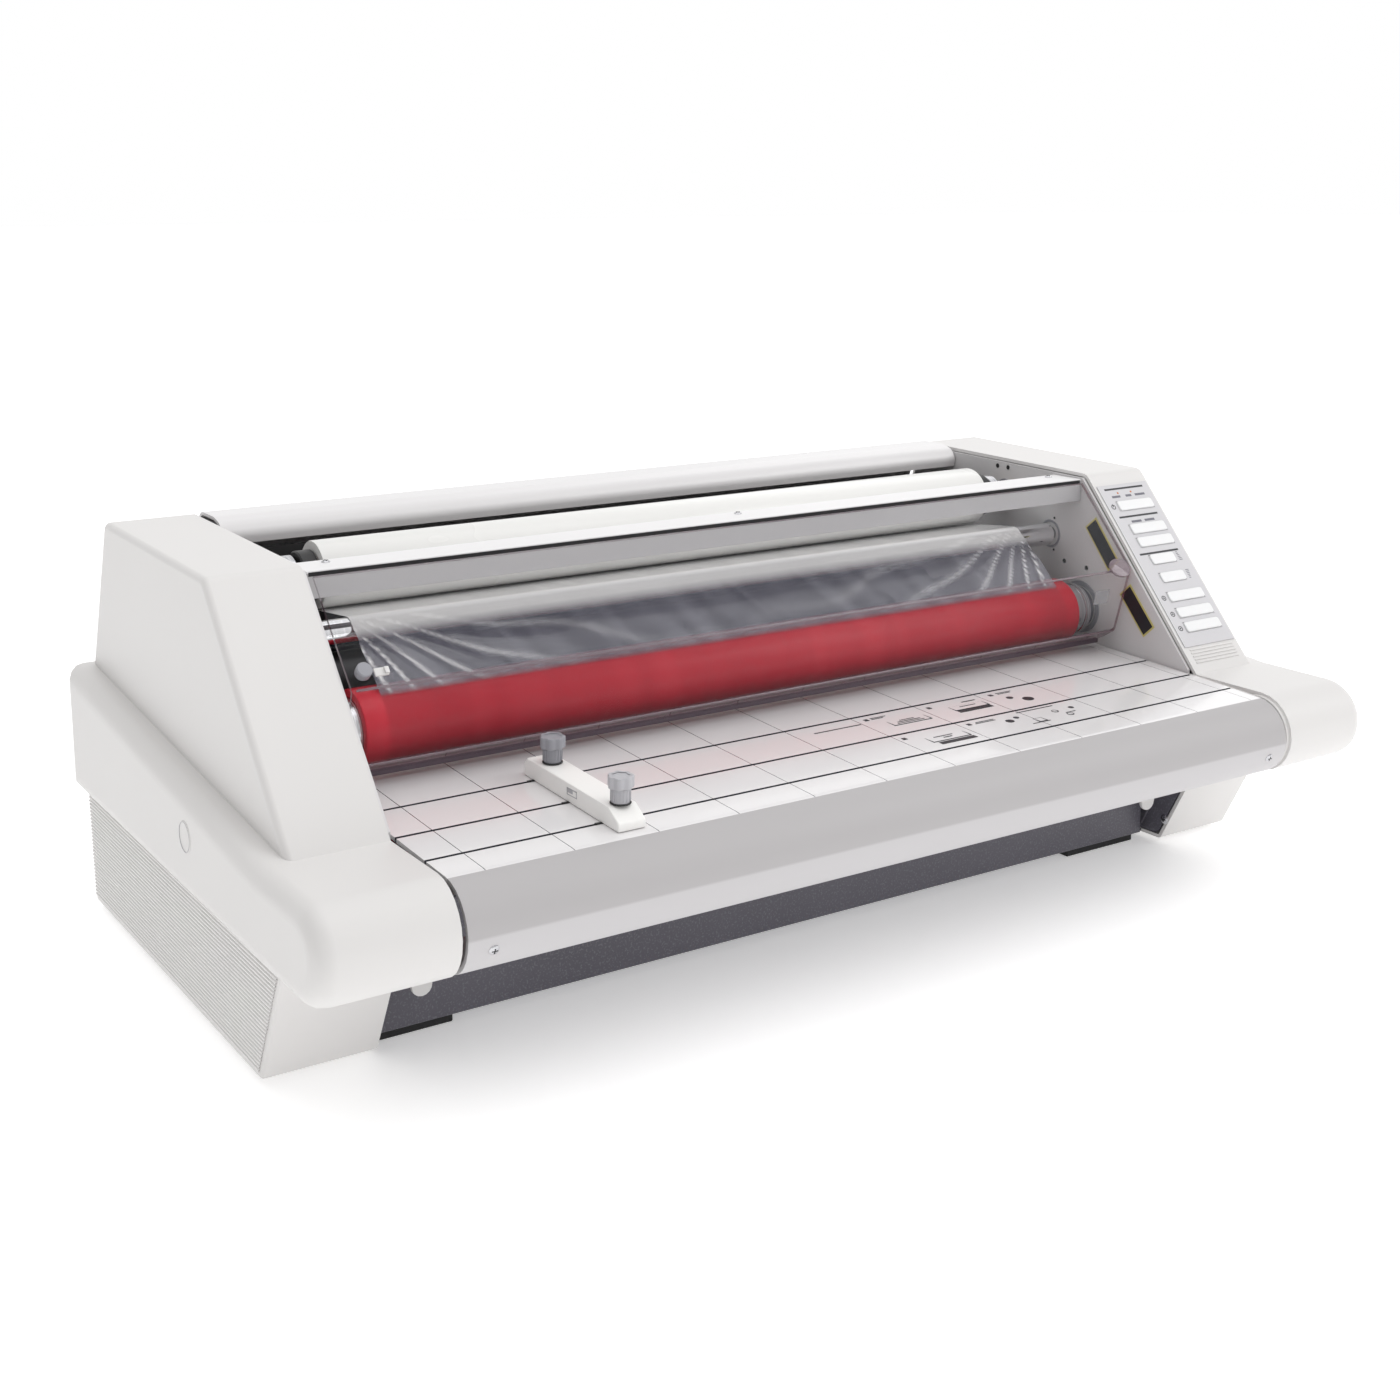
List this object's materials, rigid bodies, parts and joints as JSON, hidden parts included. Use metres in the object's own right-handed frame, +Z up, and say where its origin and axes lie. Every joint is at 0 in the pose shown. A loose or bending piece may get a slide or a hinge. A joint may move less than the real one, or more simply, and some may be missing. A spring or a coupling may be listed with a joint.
{
  "type": "roll laminator",
  "caption": "Desktop thermal roll laminator with heated rollers between two side covers, film supply rolls, clear safety shield, sliding feed table with edge guide, and a sloping button panel.",
  "frame": {"origin": "under the middle of the machine's bounding box, on the surface its feet stand on", "axes": "+X along the rollers towards the control panel, +Y from the feed table's nose towards the film exit, +Z up"},
  "size_m": [0.912, 0.51, 0.3166],
  "materials": {
    "white_plastic": "fine satin texture",
    "grey_paint": "satin paint",
    "pale_paint": "semi-gloss paint",
    "dark_paint": "fine textured paint",
    "red_silicone": "smooth satin silicone",
    "grey_rubber": "matt",
    "black_rubber": "matt",
    "polished_steel": "polished",
    "clear_plastic": "clear, polished",
    "film": "glossy clear film",
    "wound_film": "many wound layers",
    "black_plastic": "satin",
    "grey_label": "smooth overlay",
    "button_plastic": "satin",
    "knob_grey": "satin",
    "circuit_board": "solder mask"
  },
  "bodies": {
    "housing": {"left_side_cover": "white_plastic", "right_side_cover": "white_plastic", "left_side_frame": "grey_paint", "right_side_frame": "grey_paint", "base_plate": "dark_paint", "front_lower_panel": "dark_paint", "rear_top_cover": "pale_paint", "rear_panel": "dark_paint", "front_crossbar": "pale_paint", "inner_baffle": "black_plastic", "foot_front_left": "black_rubber", "foot_front_right": "black_rubber", "foot_rear_left": "black_rubber", "foot_rear_right": "black_rubber", "upper_film_web": "film", "lower_film_web": "film", "drive_chain": "polished_steel", "drive_motor": "dark_paint", "control_board": "circuit_board", "control_label": "grey_label", "mains_inlet": "black_plastic"},
    "shield": {"safety_shield": "clear_plastic"},
    "shield_knob": {"shield_knob": "knob_grey"},
    "table": {"feed_table": "pale_paint"},
    "latch_left": {"table_latch_left": "white_plastic"},
    "latch_right": {"table_latch_right": "white_plastic"},
    "guide": {"edge_guide": "white_plastic"},
    "knob_rear": {"guide_knob_rear": "knob_grey"},
    "knob_front": {"guide_knob_front": "knob_grey"},
    "upper_heat": {"upper_heat_core": "polished_steel", "upper_heat_sleeve": "red_silicone", "upper_drive_gear": "black_plastic"},
    "lower_heat": {"lower_heat_core": "polished_steel", "lower_heat_sleeve": "red_silicone", "lower_drive_gear": "black_plastic", "heat_sprocket": "polished_steel"},
    "upper_pull": {"upper_pull_roller": "grey_rubber"},
    "lower_pull": {"lower_pull_roller": "grey_rubber", "pull_sprocket": "polished_steel"},
    "upper_idler": {"upper_idler_bar": "polished_steel"},
    "lower_idler": {"lower_idler_bar": "polished_steel"},
    "upper_supply": {"upper_film_roll": "wound_film", "upper_mandrel": "black_plastic"},
    "lower_supply": {"lower_film_roll": "wound_film", "lower_mandrel": "black_plastic"},
    "motor_shaft": {"motor_sprocket": "polished_steel"},
    "power_button": {"power_button": "button_plastic"},
    "gauge_button_thin": {"gauge_button_thin": "button_plastic"},
    "gauge_button_thick": {"gauge_button_thick": "button_plastic"},
    "fast_button": {"fast_button": "button_plastic"},
    "slow_button": {"slow_button": "button_plastic"},
    "reverse_button": {"reverse_button": "button_plastic"},
    "run_button": {"run_button": "button_plastic"},
    "stop_button": {"stop_button": "button_plastic"},
    "switch": {"rocker_switch": "black_plastic"},
    "reset": {"reset_button": "black_plastic"}
  },
  "joints": [
    {"name": "shield_hinge", "type": "hinge", "parent": "housing", "child": "shield", "pos_m": [0, -0.0225, 0.302], "axis": [1, 0, 0], "range_deg": [-95, 0]},
    {"name": "shield_knob_turn", "type": "hinge", "parent": "shield", "child": "shield_knob", "pos_m": [-0.348, -0.07702, 0.24481], "axis": [0, -0.7372, 0.6757], "range_deg": [-90, 90]},
    {"name": "table_slide", "type": "slide", "parent": "housing", "child": "table", "axis": [0, -1, 0], "range_m": [0, 0.1]},
    {"name": "latch_left_swing", "type": "hinge", "parent": "housing", "child": "latch_left", "pos_m": [-0.3365, -0.1315, 0.078], "axis": [0, -1, 0], "range_deg": [-25, 25]},
    {"name": "latch_right_swing", "type": "hinge", "parent": "housing", "child": "latch_right", "pos_m": [0.3365, -0.1315, 0.078], "axis": [0, -1, 0], "range_deg": [-25, 25]},
    {"name": "guide_slide", "type": "slide", "parent": "table", "child": "guide", "axis": [1, 0, 0], "range_m": [-0.115, 0.5]},
    {"name": "knob_rear_turn", "type": "hinge", "parent": "guide", "child": "knob_rear", "pos_m": [-0.2255, -0.1125, 0.1728], "axis": [0, -0.04, 0.9992], "range_deg": [-180, 180]},
    {"name": "knob_front_turn", "type": "hinge", "parent": "guide", "child": "knob_front", "pos_m": [-0.2255, -0.203, 0.16918], "axis": [0, -0.04, 0.9992], "range_deg": [-180, 180]},
    {"name": "upper_heat_spin", "type": "hinge", "parent": "housing", "child": "upper_heat", "pos_m": [0, -0.021, 0.191], "axis": [1, 0, 0], "continuous": true},
    {"name": "lower_heat_spin", "type": "hinge", "parent": "housing", "child": "lower_heat", "pos_m": [0, -0.021, 0.132], "axis": [1, 0, 0], "continuous": true},
    {"name": "upper_pull_spin", "type": "hinge", "parent": "housing", "child": "upper_pull", "pos_m": [0, 0.165, 0.1805], "axis": [1, 0, 0], "continuous": true},
    {"name": "lower_pull_spin", "type": "hinge", "parent": "housing", "child": "lower_pull", "pos_m": [0, 0.165, 0.1425], "axis": [1, 0, 0], "continuous": true},
    {"name": "upper_idler_spin", "type": "hinge", "parent": "housing", "child": "upper_idler", "pos_m": [0, 0.019, 0.251], "axis": [1, 0, 0], "continuous": true},
    {"name": "lower_idler_spin", "type": "hinge", "parent": "housing", "child": "lower_idler", "pos_m": [0, -0.07, 0.104], "axis": [1, 0, 0], "continuous": true},
    {"name": "upper_supply_spin", "type": "hinge", "parent": "housing", "child": "upper_supply", "pos_m": [0, 0.08, 0.2815], "axis": [1, 0, 0], "continuous": true},
    {"name": "lower_supply_spin", "type": "hinge", "parent": "housing", "child": "lower_supply", "pos_m": [0, -0.05, 0.06], "axis": [1, 0, 0], "continuous": true},
    {"name": "motor_shaft_spin", "type": "hinge", "parent": "housing", "child": "motor_shaft", "pos_m": [0, 0.085, 0.07], "axis": [1, 0, 0], "continuous": true},
    {"name": "power_button_press", "type": "slide", "parent": "housing", "child": "power_button", "axis": [0, 0.7513, -0.66], "range_m": [0, 0.0012], "stiffness_N_per_m": 400},
    {"name": "gauge_button_thin_press", "type": "slide", "parent": "housing", "child": "gauge_button_thin", "axis": [0, 0.7513, -0.66], "range_m": [0, 0.0012], "stiffness_N_per_m": 400},
    {"name": "gauge_button_thick_press", "type": "slide", "parent": "housing", "child": "gauge_button_thick", "axis": [0, 0.7513, -0.66], "range_m": [0, 0.0012], "stiffness_N_per_m": 400},
    {"name": "fast_button_press", "type": "slide", "parent": "housing", "child": "fast_button", "axis": [0, 0.7513, -0.66], "range_m": [0, 0.0012], "stiffness_N_per_m": 400},
    {"name": "slow_button_press", "type": "slide", "parent": "housing", "child": "slow_button", "axis": [0, 0.7513, -0.66], "range_m": [0, 0.0012], "stiffness_N_per_m": 400},
    {"name": "reverse_button_press", "type": "slide", "parent": "housing", "child": "reverse_button", "axis": [0, 0.7513, -0.66], "range_m": [0, 0.0012], "stiffness_N_per_m": 400},
    {"name": "run_button_press", "type": "slide", "parent": "housing", "child": "run_button", "axis": [0, 0.7513, -0.66], "range_m": [0, 0.0012], "stiffness_N_per_m": 400},
    {"name": "stop_button_press", "type": "slide", "parent": "housing", "child": "stop_button", "axis": [0, 0.7513, -0.66], "range_m": [0, 0.0012], "stiffness_N_per_m": 400},
    {"name": "switch_rock", "type": "hinge", "parent": "housing", "child": "switch", "pos_m": [-0.256, 0.243, 0.06], "axis": [1, 0, 0], "range_deg": [-12, 0]},
    {"name": "reset_press", "type": "slide", "parent": "housing", "child": "reset", "axis": [0, -1, 0], "range_m": [0, 0.003], "stiffness_N_per_m": 300}
  ],
  "couplings": [
    {"joint": "lower_heat_spin", "follows": "upper_heat_spin", "ratio": -1},
    {"joint": "upper_pull_spin", "follows": "upper_heat_spin", "ratio": 1.5833},
    {"joint": "lower_pull_spin", "follows": "upper_heat_spin", "ratio": -1.5833},
    {"joint": "upper_idler_spin", "follows": "upper_heat_spin", "ratio": 2.85},
    {"joint": "lower_idler_spin", "follows": "upper_heat_spin", "ratio": -2.85},
    {"joint": "upper_supply_spin", "follows": "upper_heat_spin", "ratio": -1.1265},
    {"joint": "lower_supply_spin", "follows": "upper_heat_spin", "ratio": -1.1265},
    {"joint": "motor_shaft_spin", "follows": "upper_heat_spin", "ratio": -1.6923}
  ]
}
